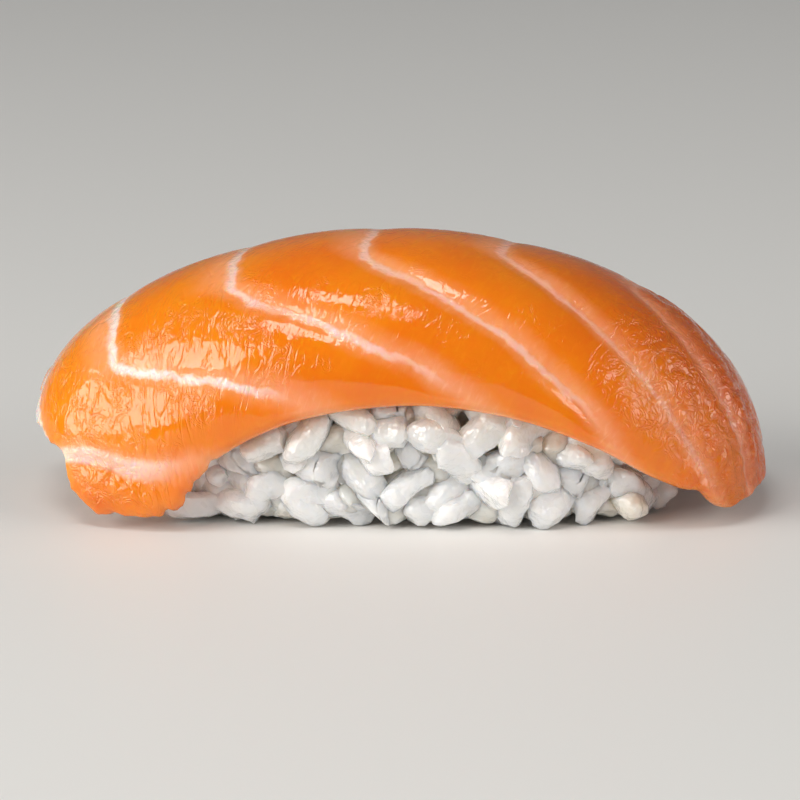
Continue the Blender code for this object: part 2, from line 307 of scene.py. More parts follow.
def fuse(base, heap):
    """Join every grain of a heap to a base as one skin, then clear the heap away."""
    union = base.modifiers.new("fuse", "BOOLEAN")
    union.operation = "UNION"
    union.operand_type = "COLLECTION"
    union.collection = heap
    union.solver = "MANIFOLD"
    work_on(base)
    bpy.ops.object.modifier_apply(modifier=union.name)
    for grain in list(heap.objects):
        bpy.data.objects.remove(grain, do_unlink=True)
    bpy.data.collections.remove(heap)
    bpy.ops.object.mode_set(mode="EDIT")
    bpy.ops.mesh.select_all(action="SELECT")
    bpy.ops.mesh.quads_convert_to_tris()
    bpy.ops.object.mode_set(mode="OBJECT")
    bpy.ops.object.shade_smooth_by_angle(angle=SOFT_EDGE)


def cover(piece, material, inside):
    """Give the whole skin of a fused piece one material, as grains inside the bed or on it."""
    share = piece.data.attributes.new("inside", "FLOAT", "POINT")
    share.data.foreach_set("value", [inside] * len(piece.data.vertices))
    piece.data.materials.clear()
    piece.data.materials.append(material)
    for face in piece.data.polygons:
        face.material_index = 0


def new_heap(name):
    """An empty heap for the grains of one piece."""
    heap = bpy.data.collections.new(name)
    bpy.context.scene.collection.children.link(heap)
    return heap


# The moist surface of the rice.
# Milky and translucent, under a film of starch whose small dents break up its highlights.
# It is paler on the outer grains, and the inner grains have a darker tan as painted shade for the gaps.
# Close under the fish it takes a warm tint, partly a stain of fish oil and partly painted light for the
# orange light the slice passes on.
# Reach and height of the tint near the fish: partly an oil stain, partly painted orange light from the
# slice.
STAIN_AND_FISH_LIGHT_REACH = 5.5
STAIN_AND_FISH_LIGHT_FALL = 1.1
STAIN_AND_FISH_LIGHT_FROM = 3.0
STAIN_AND_FISH_LIGHT_RISE = 5.0


def mark_near_fish(piece):
    """Store how close each point lies to the slice: 1 against it, 0 out of its reach."""
    near = piece.data.attributes.new("near_fish", "FLOAT", "POINT")
    for vertex in piece.data.vertices:
        _, _, _, distance = slice_tree.find_nearest(vertex.co)
        risen = min(1.0, max(0.0, (vertex.co.z / MM - STAIN_AND_FISH_LIGHT_FROM) / STAIN_AND_FISH_LIGHT_RISE))
        closeness = max(0.0, 1 - distance / (STAIN_AND_FISH_LIGHT_REACH * MM)) ** STAIN_AND_FISH_LIGHT_FALL
        near.data[vertex.index].value = risen * closeness


def add_math(group, operation, first, second=None, clamp=False):
    """A Math node fed by sockets or by numbers."""
    node = group.nodes.new("ShaderNodeMath")
    node.operation = operation
    node.use_clamp = clamp
    for slot_number, value in enumerate((first, second)):
        if value is None:
            continue
        if isinstance(value, (int, float)):
            node.inputs[slot_number].default_value = value
        else:
            group.links.new(value, node.inputs[slot_number])
    return node.outputs[0]


def times(group, first, second):
    """One value times another."""
    return add_math(group, "MULTIPLY", first, second)


def plus(group, first, second):
    """One value added to another."""
    return add_math(group, "ADD", first, second)


def minus(group, first, second):
    """One value less another."""
    return add_math(group, "SUBTRACT", first, second)


def add_ramp_between(group, value, low, high):
    """A smooth step of a value from 0 at low to 1 at high."""
    node = group.nodes.new("ShaderNodeMapRange")
    node.interpolation_type = "SMOOTHSTEP"
    for slot_name, setting in (("Value", value), ("From Min", low), ("From Max", high)):
        if isinstance(setting, (int, float)):
            node.inputs[slot_name].default_value = setting
        else:
            group.links.new(setting, node.inputs[slot_name])
    return node.outputs["Result"]


def add_noise(group, place, scale, detail=2.0, roughness=0.5, distortion=0.0):
    """A noise pattern at a scale in waves for each unit of its coordinates."""
    node = group.nodes.new("ShaderNodeTexNoise")
    node.inputs["Scale"].default_value = scale
    node.inputs["Detail"].default_value = detail
    node.inputs["Roughness"].default_value = roughness
    node.inputs["Distortion"].default_value = distortion
    group.links.new(place, node.inputs["Vector"])
    return node.outputs["Fac"]


def add_mix(group, share, first, second):
    """A colour between two colours."""
    node = group.nodes.new("ShaderNodeMix")
    node.data_type = "RGBA"
    for socket, value in ((node.inputs[0], share), (node.inputs[6], first), (node.inputs[7], second)):
        if isinstance(value, (int, float, tuple)):
            socket.default_value = value
        else:
            group.links.new(value, socket)
    return node.outputs[2]


def principled(name):
    """A new material with its tree and its Principled shader."""
    material = bpy.data.materials.new(name)
    material.use_nodes = True
    tree = material.node_tree
    return material, tree, tree.nodes["Principled BSDF"]


def add_bump(tree, height, distance, strength=1.0):
    """A bump whose height of 1 stands this far out, in metres."""
    node = tree.nodes.new("ShaderNodeBump")
    node.inputs["Strength"].default_value = strength
    node.inputs["Distance"].default_value = distance
    tree.links.new(height, node.inputs["Height"])
    return node.outputs["Normal"]


def attribute_value(tree, name):
    """The value of one of the piece's own attributes."""
    node = tree.nodes.new("ShaderNodeAttribute")
    node.attribute_name = name
    return node.outputs["Fac"]


def add_scaled(tree, value, factor, start):
    """A value times a factor, from a starting number up."""
    scaled = add_math(tree, "MULTIPLY_ADD", value, factor)
    scaled.node.inputs[2].default_value = start
    return scaled


def set_inputs(shader, settings):
    """Set the inputs that are the same all over a surface."""
    for name, setting in settings.items():
        shader.inputs[name].default_value = setting


OUTER_PALE = (0.985, 0.98, 0.97, 1)
OUTER_SHADED = (0.96, 0.95, 0.935, 1)
# Near the fish: partly an oil stain and partly painted light, the orange light the slice passes on.
OUTER_STAIN_AND_FISH_LIGHT = (1.0, 0.86, 0.77, 1)
# Painted shade: the inner grains are a darker tan, so the gaps between the outer grains read as deep
# and shaded.
INNER_GAP_SHADE_PALE = (0.95, 0.89, 0.80, 1)
INNER_GAP_SHADE_DEEP = (0.91, 0.83, 0.72, 1)
INNER_GAP_SHADE_STAIN_AND_FISH_LIGHT = (0.94, 0.68, 0.52, 1)
STAIN_AND_FISH_LIGHT_STRENGTH = 0.8
CLOUD_SCALE = 260.0
CLOUD_STEP = (0.35, 0.65)


def rice_colour(tree, place):
    """Pale on the outer grains, and on the inner grains a darker tan that is painted shade for the
    gaps, in cloudy patches; near the fish a tint that is partly an oil stain and partly painted orange
    light from the slice.
    """
    inside = attribute_value(tree, "inside")
    cloud = add_ramp_between(tree, add_noise(tree, place, CLOUD_SCALE, detail=3.0), *CLOUD_STEP)
    outer = add_mix(tree, cloud, OUTER_PALE, OUTER_SHADED)
    # Painted shade for the gaps: the inner grains take the darker tan.
    inner_gap_shade = add_mix(tree, cloud, INNER_GAP_SHADE_PALE, INNER_GAP_SHADE_DEEP)
    stain_and_fish_light_colour = add_mix(tree, inside, OUTER_STAIN_AND_FISH_LIGHT, INNER_GAP_SHADE_STAIN_AND_FISH_LIGHT)
    # Painted orange light from the slice, with an oil stain, on the grains close under it.
    stain_and_fish_light = add_math(
        tree, "MULTIPLY", attribute_value(tree, "near_fish"), STAIN_AND_FISH_LIGHT_STRENGTH, clamp=True)
    return add_mix(tree, stain_and_fish_light, add_mix(tree, inside, outer, inner_gap_shade), stain_and_fish_light_colour)


PATCH_SCALE = 420.0
PATCH_STEP = (0.42, 0.58)
BODY_ROUGHNESS = (0.20, 0.25)
FILM_ROUGHNESS = (0.12, 0.05)
FINE_DENT_SCALE = 1300.0
FINE_DENT_MM = 0.42
BROAD_DENT_SCALE = 560.0
BROAD_DENT_MM = 0.50
BODY_BUMP = 0.2
FILM_BUMP_MM = 1.3

rice, tree, shader = principled("cooked_rice")
rice_place = tree.nodes.new("ShaderNodeTexCoord").outputs["Object"]
tree.links.new(rice_colour(tree, rice_place), shader.inputs["Base Color"])
patches = add_ramp_between(tree, add_noise(tree, rice_place, PATCH_SCALE, detail=1.0), *PATCH_STEP)
tree.links.new(add_scaled(tree, patches, *BODY_ROUGHNESS), shader.inputs["Roughness"])
tree.links.new(add_scaled(tree, patches, *FILM_ROUGHNESS), shader.inputs["Coat Roughness"])
fine_dents = times(tree, add_noise(tree, rice_place, FINE_DENT_SCALE, detail=2.0), FINE_DENT_MM)
broad_dents = times(tree, add_noise(tree, rice_place, BROAD_DENT_SCALE, detail=1.0), BROAD_DENT_MM)
dents_mm = plus(tree, fine_dents, broad_dents)
tree.links.new(add_bump(tree, dents_mm, MM, BODY_BUMP), shader.inputs["Normal"])
tree.links.new(add_bump(tree, dents_mm, FILM_BUMP_MM * MM), shader.inputs["Coat Normal"])
shader.subsurface_method = "RANDOM_WALK"
set_inputs(shader, {
    "IOR": 1.42,
    "Coat Weight": 1.0,
    "Coat IOR": 2.0,
    "Transmission Weight": 0.03,
    "Subsurface Weight": 1.0,
    "Subsurface Radius": (1.0, 0.88, 0.76),
    "Subsurface Scale": 2.4 * MM,
})


# The core piece with its first layer of grains, which shows in the gaps between the
# outer grains. Its grains are coloured a darker tan as painted shade for the deep gaps.
INNER_ROWS = (1.7, 4.2, 6.6, 9.0, 11.4, 13.6, 15.4)
INNER_SPACING = 4.0
INNER_PROUD = -0.45
INNER_UPPER_PROUD = 1.4
INNER_TILT = 1.4
INNER_PITCH = 0.3
INNER_SEED = 29
UNDER_START_INSET = (3.5, 3.0)
UNDER_STOP_INSET = (2.5, 2.0)
UNDER_SPACING = 4.6
UNDER_ROW_SHARE = 0.75
UNDER_SHIFT = (0.8, 0.5)
UNDER_RISE = (0.1, 0.4)

start_piece()
bpy.ops.mesh.primitive_uv_sphere_add(segments=48, ring_count=24, radius=1.0)
rice_core = bpy.context.object
rice_core.name = "rice_core"
bpy.ops.object.mode_set(mode="EDIT")
bpy.ops.mesh.select_all(action="SELECT")
bpy.ops.mesh.bisect(plane_co=(0, 0, 0), plane_no=(0, 0, 1), use_fill=True, clear_inner=True)
bpy.ops.object.mode_set(mode="OBJECT")
for vertex in rice_core.data.vertices:
    rise = max(0.0, min(1.0, vertex.co.z))
    angle = math.atan2(vertex.co.y, vertex.co.x)
    plan = bed_outline(angle) * math.sqrt(1 - rise * rise) ** (2 / BED_RISE_POWER)
    height = (BED_HEIGHT - CORE_INSET) * rise ** (2 / BED_RISE_POWER) * bed_fall(plan.x)
    plan *= BED_FOOT + (1 - BED_FOOT) * min(1.0, height / BED_FOOT_HEIGHT)
    plan *= 1 - CORE_INSET / BED_HALF_WIDTH
    lifted = CORE_LIFT + height * (1 - CORE_LIFT / BED_HEIGHT)
    vertex.co = Vector((plan.x + BED_CENTRE_X, plan.y, lifted)) * MM

GRAIN_LENGTH = 6.1
GRAIN_WIDTH = 3.4
GRAIN_DEPTH = 2.9
INNER_SIZE_SPREAD = 0.1
UPPER_FROM = 5.0
UPPER_RISE = 5.0


def grain_size(rule, spread):
    """Length, width and depth of a grain, each its own share off the usual."""
    sides = (GRAIN_LENGTH, GRAIN_WIDTH, GRAIN_DEPTH)
    return [side * rule.uniform(1 - spread, 1 + spread) for side in sides]


def upper_share(height):
    """0 in the lower rows, and up to 1 in the upper ones, which stand out under the slice."""
    return min(1.0, max(0.0, (height - UPPER_FROM) / UPPER_RISE))


inner_rule = random.Random(INNER_SEED)
inner_heap = new_heap("inner_heap")
for row, height in enumerate(INNER_ROWS):
    for place in ring_places(height, 0.5 * (row % 2) + 0.35, INNER_SPACING):
        size = grain_size(inner_rule, INNER_SIZE_SPREAD)
        kind = inner_rule.choice(("plump", "slim", "stub"))
        tilt = inner_rule.uniform(-INNER_TILT, INNER_TILT)
        pitch = inner_rule.uniform(-INNER_PITCH, INNER_PITCH)
        proud = INNER_PROUD + INNER_UPPER_PROUD * upper_share(height)
        matrix = settled_matrix(grain_kinds[kind], place, tilt, pitch, size, proud)
        if matrix is not None:
            pressed_copy(kind, matrix, inner_rule, inner_heap)
under_columns = np.arange(
    -BED_HALF_LENGTH + UNDER_START_INSET[0], BED_HALF_LENGTH - UNDER_STOP_INSET[0], UNDER_SPACING)
under_rows = np.arange(
    -BED_HALF_WIDTH + UNDER_START_INSET[1], BED_HALF_WIDTH - UNDER_STOP_INSET[1],
    UNDER_SPACING * UNDER_ROW_SHARE)
for along in under_columns:
    for across in under_rows:
        heading = inner_rule.uniform(0, math.pi)
        place = Vector((
            BED_CENTRE_X + along + inner_rule.uniform(-UNDER_SHIFT[0], UNDER_SHIFT[0]),
            across + inner_rule.uniform(-UNDER_SHIFT[1], UNDER_SHIFT[1]),
            0,
        ))
        size = grain_size(inner_rule, INNER_SIZE_SPREAD)
        place.z = GAP_TO_FLOOR + size[2] * 0.5 + inner_rule.uniform(*UNDER_RISE)
        direction = Vector((math.cos(heading), math.sin(heading), 0))
        matrix = grain_matrix(place, direction, Vector((0, 0, 1)), 0, 0, size)
        pressed_copy(inner_rule.choice(("plump", "slim", "germ")), matrix, inner_rule, inner_heap)
fuse(rice_core, inner_heap)
mark_near_fish(rice_core)
cover(rice_core, rice, 1.0)
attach(rice_core, "root")
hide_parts("rice_bed")

# The grains that show.
# Rows of grains stuck to the bed all round, each turned its own way: whole grains as one
# piece and broken ones as another, every grain fused to those it touches.
GRAIN_SPACING = 3.9
GRAIN_SIZE_SPREAD = 0.12
GRAIN_SHIFT = 0.8
GRAIN_RISE = 0.7
ROW_HEIGHTS = (1.6, 4.0, 6.5, 9.0, 11.5, 13.9)
GRAIN_TILT = 55.0
GRAIN_PITCH = 22.0
GRAIN_PROUD = 0.45
UPPER_PROUD = 1.8
PROUD_SPREAD = 0.55
END_ON_SHARE = 0.15
END_ON_PITCH = (42, 72)
END_ON_LENGTH = 0.95
GRAIN_SEED = 11
BROKEN_SHARE = 0.16

outer_rule = random.Random(GRAIN_SEED)
finish_rule = random.Random(GRAIN_SEED + 1)
heaps = {"whole": new_heap("whole_heap"), "broken": new_heap("broken_heap")}
for row, height in enumerate(ROW_HEIGHTS):
    for point, along, out in ring_places(height, 0.5 * (row % 2) + 0.1, GRAIN_SPACING):
        point = point + along * outer_rule.uniform(-GRAIN_SHIFT, GRAIN_SHIFT)
        point.z += outer_rule.uniform(-GRAIN_RISE, GRAIN_RISE)
        tilt = math.radians(outer_rule.uniform(-GRAIN_TILT, GRAIN_TILT))
        pitch = math.radians(outer_rule.uniform(-GRAIN_PITCH, GRAIN_PITCH))
        size = grain_size(outer_rule, GRAIN_SIZE_SPREAD)
        if finish_rule.random() < BROKEN_SHARE:
            kind = "broken"
        else:
            kind = finish_rule.choice(("plump", "slim", "stub", "germ"))
        if finish_rule.random() < END_ON_SHARE:
            pitch = math.radians(finish_rule.choice((-1, 1)) * finish_rule.uniform(*END_ON_PITCH))
            size[0] *= END_ON_LENGTH
        proud = GRAIN_PROUD + finish_rule.uniform(-PROUD_SPREAD, PROUD_SPREAD)
        proud += UPPER_PROUD * upper_share(height)
        matrix = settled_matrix(grain_kinds[kind], (point, along, out), tilt, pitch, size, proud)
        if matrix is not None:
            heap_name = "broken" if kind == "broken" else "whole"
            pressed_copy(kind, matrix, finish_rule, heaps[heap_name])

# Grains that stray from the rows: centre, heading, nose up, size and kind.
STRAY_GRAINS = (
    ((-19.3, -8.2, 1.85), 3, -3, (5.8, 3.2, 3.1), "plump"),
    ((-15.1, -9.1, 1.85), -5, 4, (5.6, 3.3, 3.1), "slim"),
    ((-17.2, -6.9, 4.6), 78, 8, (4.6, 3.5, 3.3), "stub"),
    ((22.3, -5.2, 3.0), -8, -34, (4.9, 3.0, 2.7), "plump"),
    ((24.6, -4.6, 1.8), -15, -52, (3.9, 2.5, 2.3), "stub"),
)
for centre, heading, nose_up, size, kind in STRAY_GRAINS:
    heading = math.radians(heading)
    along = Vector((math.cos(heading), math.sin(heading), 0))
    out = Vector((math.sin(heading), -math.cos(heading), 0))
    matrix = settled_matrix(
        grain_kinds[kind], (Vector(centre), along, out), math.radians(-nose_up), 0, size, 0)
    if matrix is not None:
        pressed_copy(kind, matrix, finish_rule, heaps["whole"])

for heap_name, heap in heaps.items():
    base = heap.objects[0]
    heap.objects.unlink(base)
    bpy.context.scene.collection.objects.link(base)
    base.name = "rice_grains_" + heap_name
    fuse(base, heap)
    mark_near_fish(base)
    cover(base, rice, 0.0)
    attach(base, "root")
    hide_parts("rice_bed")

# The slice of salmon.
# Raw flesh cut thick across the fillet and laid over the bed by hand, so it drapes past
# both ends. Muscle blocks swell between sheets of fat, and the cut surface is wet.
CREST_TOP = (-1.0, 26.2)
CREST_LEFT = ((-14.0, 26.3), (-32.5, 20.3), (-35.0, 8.8))
CREST_RIGHT = ((14.0, 26.1), (35.4, 19.8), (34.9, 2.2))
FRONT_SHIFT = (6.2, 8.8, 5.7, 3.2, 1.0, 0.0, -1.0, -2.4, -3.6, -4.0, -4.2)
FRONT_REACH = (10.2, 12.6, 13.4, 14.0, 14.4, 14.5, 14.3, 13.9, 12.8, 11.0, 7.6)
FRONT_DROP = (8.6, 15.6, 14.8, 14.2, 13.9, 13.5, 13.6, 13.9, 13.6, 9.8, 2.5)
BACK_SHIFT = (-0.2, 1.2, 1.8, 1.2, 0.5, 0.0, -0.5, -1.5, -2.0, -2.0, -2.5)
BACK_REACH = (8.8, 11.4, 13.0, 14.0, 14.4, 14.4, 14.4, 14.0, 12.9, 11.0, 8.4)
BACK_DROP = (-1.4, 4.8, 9.4, 11.6, 12.4, 12.5, 12.4, 12.0, 10.6, 6.4, 0.4)
SECTION_POWER = 2.15
CORNER_LEFT = 0.17
CORNER_RIGHT = 0.36
SLICE_THICKNESS = 5.4
RIM_THICKNESS = 2.2
RIM_ROUND = 0.95
RIM_FADE = 0.42


def cubic_curve(ends, t):
    """Points on a cubic curve given by its four points."""
    a, b, c, d = (np.array(end) for end in ends)
    t = t[:, None]
    return (1 - t) ** 3 * a + 3 * t * (1 - t) ** 2 * b + 3 * t * t * (1 - t) * c + t ** 3 * d


steps = np.linspace(0, 1, 201)
crest = np.vstack([
    cubic_curve((CREST_TOP,) + CREST_LEFT, steps)[::-1],
    cubic_curve((CREST_TOP,) + CREST_RIGHT, steps)[1:],
])
crest_lengths = np.concatenate([[0.0], np.cumsum(np.linalg.norm(np.diff(crest, axis=0), axis=1))])
crest_length = crest_lengths[-1]


def smooth_between(values, s):
    """A smooth curve through values at equal steps of s from -1 to 1."""
    values = np.array(values)
    last = len(values) - 1
    place = np.clip((s + 1) / 2 * last, 0, last)
    index = np.minimum(place.astype(int), last - 1)
    t = place - index
    slopes = np.gradient(values)
    return ((1 + 2 * t) * (1 - t) ** 2 * values[index] + t * (1 - t) ** 2 * slopes[index]
            + t * t * (3 - 2 * t) * values[index + 1] + t * t * (t - 1) * slopes[index + 1])


def lay_over_bed(s, v):
    """Place points of the flat slice (s along it, v across it) on the laid slice, in mm."""
    along = (s + 1) / 2 * crest_length
    front = v < 0
    shift = np.where(front, smooth_between(FRONT_SHIFT, s), smooth_between(BACK_SHIFT, s))
    reach = np.where(front, smooth_between(FRONT_REACH, s), smooth_between(BACK_REACH, s))
    drop = np.where(front, smooth_between(FRONT_DROP, s), smooth_between(BACK_DROP, s))
    turn = np.abs(v) * math.pi / 2
    down = 1 - np.cos(turn) ** (2 / SECTION_POWER)
    return np.stack([
        np.interp(along, crest_lengths, crest[:, 0]) + shift * down,
        np.sign(v) * reach * np.sin(turn) ** (2 / SECTION_POWER),
        np.interp(along, crest_lengths, crest[:, 1]) - drop * down,
    ], axis=-1)


def noise_at(points, scale, seed):
    """Smooth noise between -1 and 1 at points, one value for each."""
    shift = Vector((seed * 7.3, seed * 3.1, seed * 5.7))
    return np.array([noise.noise(Vector(point) * scale + shift) for point in points])


def smooth_step(values, low, high):
    """A smooth step from 0 at low to 1 at high."""
    share = np.clip((values - low) / (high - low), 0, 1)
    return share * share * (3 - 2 * share)


FLAT_HALF_WIDTH = 23.0
RIM_LIMIT = 0.999
RAGGED_STEP = 0.016
RAGGED_WAVES = 9.0
RAGGED_BAND = (0.8, 0.2)
TORN_STEP = 0.24
FRONT_BAND = (0.6, 0.4)
NOTCH_ALONG = 0.73
NOTCH_WIDTH = 0.035
NOTCH_DEPTH = 0.032
LOBE_ALONG = 0.86
LOBE_WIDTH = 0.065
LOBE_DROP = 0.036
END_BULGE = 0.020
END_BAND = (0.8, 0.15)
END_BULGE_ACROSS = (-0.68, 0.15)
TIP_PULL = 0.020
TIP_RISE = 0.030
TIP_SHARPNESS = 12
FLAP_BULGE = 0.026
FLAP_BAND = (0.75, 0.15)
FLAP_BULGE_ACROSS = (-0.84, 0.16)
RIPPLE_STEP = 0.007
RIPPLE_BAND = (0.5, 0.2)


def past(values, start, run):
    """How far values are past a start, as a share of a run."""
    return np.clip((values - start) / run, 0, 1)


def swelling(values, centre, width):
    """1 at a centre, and less the further off it is."""
    return np.exp(-((values - centre) / width) ** 2)


def inside_rim(values):
    """Keep places on the flat slice just inside its rim."""
    return np.clip(values, -RIM_LIMIT, RIM_LIMIT)


def torn_wave(v):
    """The uneven waves of the torn left end, across the slice."""
    wave = np.sin(RAGGED_WAVES * v) + 0.6 * np.sin(2.3 * RAGGED_WAVES * v + 1.0)
    uneven = 0.5 + 0.5 * np.sin(1.7 * RAGGED_WAVES * v + 0.6)
    fine_wave = np.sin(6.9 * RAGGED_WAVES * v + 2.0) + 0.8 * np.sin(11.2 * RAGGED_WAVES * v)
    return wave + TORN_STEP * uneven * fine_wave


def slice_outline(p, q):
    """Turn places on a square sheet into places on the flat slice.

    The corners are rounded and the left end is torn. The front edge has a ragged flap on
    the left, and on the right a notch and then a round lobe.
    """
    corner = np.where(p < 0, CORNER_LEFT, CORNER_RIGHT)
    s = p * np.sqrt(1 - corner * q * q / 2)
    v = q * np.sqrt(1 - corner * p * p / 2)
    near_front = past(-v, *FRONT_BAND) ** 2
    s = s + RAGGED_STEP * past(-s, *RAGGED_BAND) ** 2 * torn_wave(v)
    v = v + NOTCH_DEPTH * swelling(s, NOTCH_ALONG, NOTCH_WIDTH) * near_front
    ripple = np.sin(61 * s) + 0.8 * np.sin(103 * s + 1.0) + 0.7 * np.sin(167 * s + 2.0)
    v = v - LOBE_DROP * swelling(s, LOBE_ALONG, LOBE_WIDTH) * near_front
    s = s + END_BULGE * past(s, *END_BAND) ** 2 * swelling(v, *END_BULGE_ACROSS)
    tip = (np.clip(p, 0, 1) * np.clip(-q, 0, 1)) ** TIP_SHARPNESS
    s = s - TIP_PULL * tip
    v = v + TIP_RISE * tip
    s = s - FLAP_BULGE * past(-s, *FLAP_BAND) ** 2 * swelling(v, *FLAP_BULGE_ACROSS)
    v = v + RIPPLE_STEP * ripple * near_front * past(-s, *RIPPLE_BAND)
    return inside_rim(s), inside_rim(v)


FAT_FIRST_KNEE = (11.7, -0.38)
FAT_SPACING = (13.2, 0.09)
FAT_RUN = 46.0
FAT_SOFTNESS = 0.22
FAT_BACK_LEAN = 5.0


def fat_phase(s, v):
    """Which muscle block each point is in: a whole number lies on a sheet of fat."""
    along = (s + 1) / 2 * crest_length
    phase = (along - FAT_FIRST_KNEE[0]) / FAT_SPACING[0]
    for _ in range(6):
        forward = FAT_FIRST_KNEE[1] + FAT_SPACING[1] * phase - v
        ahead = np.maximum(forward, 0)
        moved = FAT_RUN * ahead ** 2 / (ahead + FAT_SOFTNESS) - FAT_BACK_LEAN * np.minimum(forward, 0)
        phase = (along - moved - FAT_FIRST_KNEE[0]) / FAT_SPACING[0]
    return phase


BLOCK_BULGE = 0.45
BLOCK_SINK = 0.25
CREASE_DEPTH = 0.14
CREASE_WIDTH = 0.10
BACK_RELIEF = 0.35
RELIEF_FADE = 4.0
FIBRE_LEAN = math.radians(62)
CRINKLE_HEIGHT = 0.03
FOIL_HEIGHT = 0.18
FOIL_LEVEL = 0.8
SLICE_COLUMNS = 180
SLICE_ROWS = 76
SMALL_STEP = 1e-3

start_piece()
bpy.ops.mesh.primitive_grid_add(x_subdivisions=SLICE_COLUMNS, y_subdivisions=SLICE_ROWS, size=2)
salmon = bpy.context.object
salmon.name = "salmon_slice_dressed"
solidify = salmon.modifiers.new("thickness", "SOLIDIFY")
solidify.thickness = 0.1
solidify.offset = -1.0
bpy.ops.object.modifier_apply(modifier=solidify.name)
bpy.ops.object.mode_set(mode="EDIT")
bpy.ops.mesh.select_all(action="DESELECT")
bm = bmesh.from_edit_mesh(salmon.data)
for face in bm.faces:
    face.select_set(face.normal.z > 0.5)
bmesh.update_edit_mesh(salmon.data)
bpy.ops.mesh.subdivide(number_cuts=1)
bpy.ops.object.mode_set(mode="OBJECT")

flat = np.empty(len(salmon.data.vertices) * 3)
salmon.data.vertices.foreach_get("co", flat)
flat = flat.reshape(-1, 3)
upper = flat[:, 2] > -0.05
p = np.clip(flat[:, 0], -1, 1)
q = np.clip(flat[:, 1], -1, 1)
s, v = slice_outline(p, q)
laid = lay_over_bed(s, v)
along_step = lay_over_bed(inside_rim(s + SMALL_STEP), v) - lay_over_bed(inside_rim(s - SMALL_STEP), v)
across_step = lay_over_bed(s, inside_rim(v + SMALL_STEP)) - lay_over_bed(s, inside_rim(v - SMALL_STEP))
outward = np.cross(along_step, across_step)
outward /= np.linalg.norm(outward, axis=1)[:, None]

# Muscle blocks swell between the grooves of the fat, less so at the back and at the rim.
rim_mm = np.minimum((1 - np.abs(p)) * crest_length / 2, (1 - np.abs(q)) * FLAT_HALF_WIDTH)
phase = fat_phase(s, v)
off_line = np.abs(phase - np.round(phase))
swell = BLOCK_BULGE * (1 - (1 - 2 * off_line) ** 2)
swell -= CREASE_DEPTH * np.exp(-(off_line / CREASE_WIDTH) ** 2)
fade_back = BACK_RELIEF + (1 - BACK_RELIEF) * np.clip(-v / 0.4, 0, 1)
whole_blocks = 1 - smooth_step(phase, 4.3, 4.7)
relief = (swell * whole_blocks - BLOCK_SINK) * fade_back * smooth_step(rim_mm, 0.0, RELIEF_FADE)

flat_mm = np.stack([(s + 1) / 2 * crest_length, v * FLAT_HALF_WIDTH, np.zeros_like(s)], axis=-1)
fibre = np.stack([
    flat_mm[:, 0] * math.cos(FIBRE_LEAN) + flat_mm[:, 1] * math.sin(FIBRE_LEAN),
    -flat_mm[:, 0] * math.sin(FIBRE_LEAN) + flat_mm[:, 1] * math.cos(FIBRE_LEAN),
    np.zeros_like(s)], axis=-1)


LEAST_TORN = 0.25
CALM_CENTRE = 0.05
CALM_TO_TORN = (0.22, 0.55)
STRIP_TORN = 0.9
STRIP_ACROSS = (-0.5, 0.09)
STRIP_ALONG = (-0.15, 0.25)
BACK_TORN = (0.35, 0.5)
BACK_PATCH_SCALE = 0.07
BACK_PATCH_STEP = (-0.15, 0.25)
FRONT_TO_BACK = (-0.40, -0.10)
MIDDLE_RIM_CALM = 0.85
LEFT_RIM_CALM = 0.9


def torn_share(s, v):
    """How torn the wet face is: most at both ends and in a strip above the second sheet."""
    torn = LEAST_TORN + (1 - LEAST_TORN) * smooth_step(np.abs(s - CALM_CENTRE), *CALM_TO_TORN)
    torn = np.maximum(torn, STRIP_TORN * swelling(v, *STRIP_ACROSS) * swelling(s, *STRIP_ALONG))
    back_patches = smooth_step(noise_at(flat_mm, BACK_PATCH_SCALE, 21), *BACK_PATCH_STEP)
    patchy = BACK_TORN[0] + BACK_TORN[1] * back_patches
    torn += (patchy - torn) * smooth_step(v, *FRONT_TO_BACK)
    middle_rim = smooth_step(rim_mm, 5.0, 2.0) * smooth_step(np.abs(s), 0.75, 0.55)
    torn *= 1 - MIDDLE_RIM_CALM * middle_rim
    left_rim = smooth_step(rim_mm, 2.4, 0.6) * smooth_step(-s, 0.80, 0.90)
    return torn * (1 - LEFT_RIM_CALM * left_rim)


# The torn face has fine ridges along the fibres, and crumples like foil at the right end
# and on the left flap.
torn = torn_share(s, v)
warp = noise_at(fibre, 0.35, 3)
drawn = fibre * np.array([0.30, 0.85, 1.0]) + np.stack([warp * 0.6, warp * 1.1, warp * 0], axis=-1)
plateau = smooth_step(np.abs(noise_at(drawn, 1.0, 5)), 0.0, 0.18)
foil = smooth_step(np.abs(noise_at(flat_mm + warp[:, None], 0.40, 13)), 0.0, 0.30)
left_flap = smooth_step(-s, 0.72, 0.86) * smooth_step(-v, 0.5, 0.8)
crumpled = np.maximum(smooth_step(s, 0.25, 0.6), 0.7 * left_flap)
relief += CRINKLE_HEIGHT * torn * (plateau - FOIL_LEVEL)
relief += FOIL_HEIGHT * torn * crumpled * (foil - FOIL_LEVEL)

# Both faces come together in a rounded rim.
edge = np.clip(RIM_ROUND - rim_mm, 0, RIM_ROUND)
sink = RIM_ROUND - np.sqrt(np.maximum(RIM_ROUND ** 2 - edge ** 2, 0))
fade = np.clip(np.minimum(1 - np.abs(p), 1 - np.abs(q)) / RIM_FADE, 0, 1)
thickness = RIM_THICKNESS + (SLICE_THICKNESS - RIM_THICKNESS) * np.sin(fade * math.pi / 2)
rim_quiet = np.clip(rim_mm / 1.5, 0, 1)
under = -thickness + sink + (swell - BLOCK_SINK) * fade_back * rim_quiet
height = np.where(upper, relief * rim_quiet - sink, under)
place = (laid + outward * height[:, None]) * MM
salmon.data.vertices.foreach_set("co", place.ravel())

